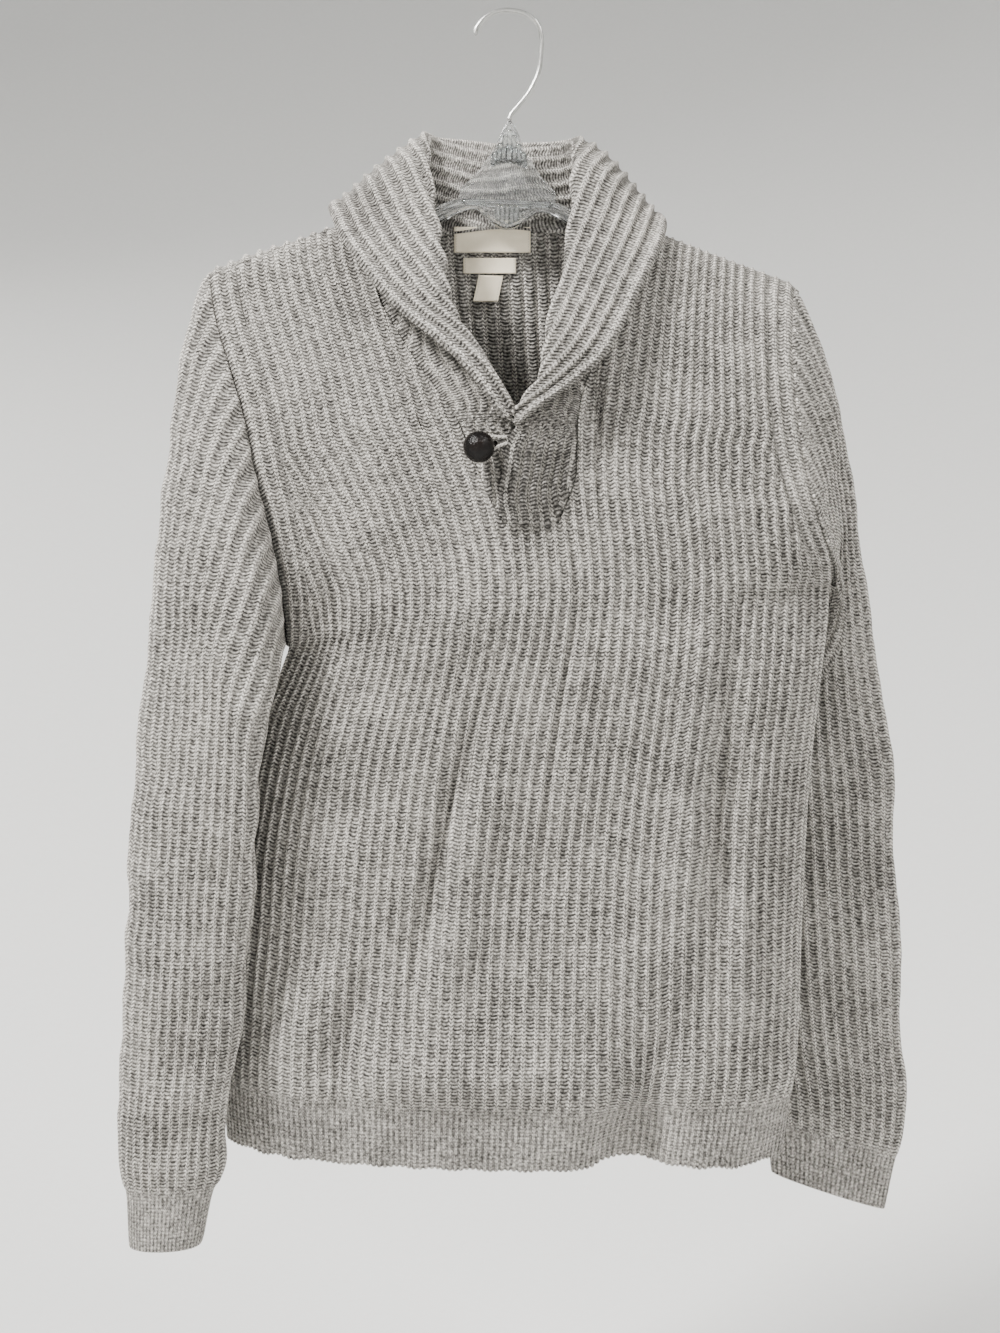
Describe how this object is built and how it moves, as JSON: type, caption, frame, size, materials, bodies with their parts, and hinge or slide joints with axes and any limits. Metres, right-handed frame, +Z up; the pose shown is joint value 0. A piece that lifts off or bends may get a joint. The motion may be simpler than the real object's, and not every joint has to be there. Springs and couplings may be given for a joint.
{
  "type": "shawl collar sweater",
  "caption": "Ribbed knit shawl collar sweater with long sleeves and a ball button at the neck, hanging flat on a clear plastic hanger with a steel hook.",
  "frame": {"origin": "the inside top of the hanger's hook, where the rod or wall hook that holds it touches it", "axes": "+Z up, +Y from the sweater's front to its back, +X to the right as the front is viewed"},
  "size_m": [0.5753, 0.1441, 0.8795],
  "materials": {
    "knit": "soft heather rib knit",
    "button_leather": "dark, lightly worn",
    "label_satin": "bare cream satin tape",
    "clear_plastic": "clear and glossy",
    "hook_steel": "polished wire"
  },
  "bodies": {
    "root": {"front": "knit", "back": "knit", "sleeve_left": "knit", "sleeve_right": "knit", "collar": "knit", "button": "button_leather", "button_loop": "knit", "label_main": "label_satin", "label_small": "label_satin", "label_care": "label_satin", "hanger": "clear_plastic", "hanger_hook": "hook_steel"}
  },
  "joints": []
}
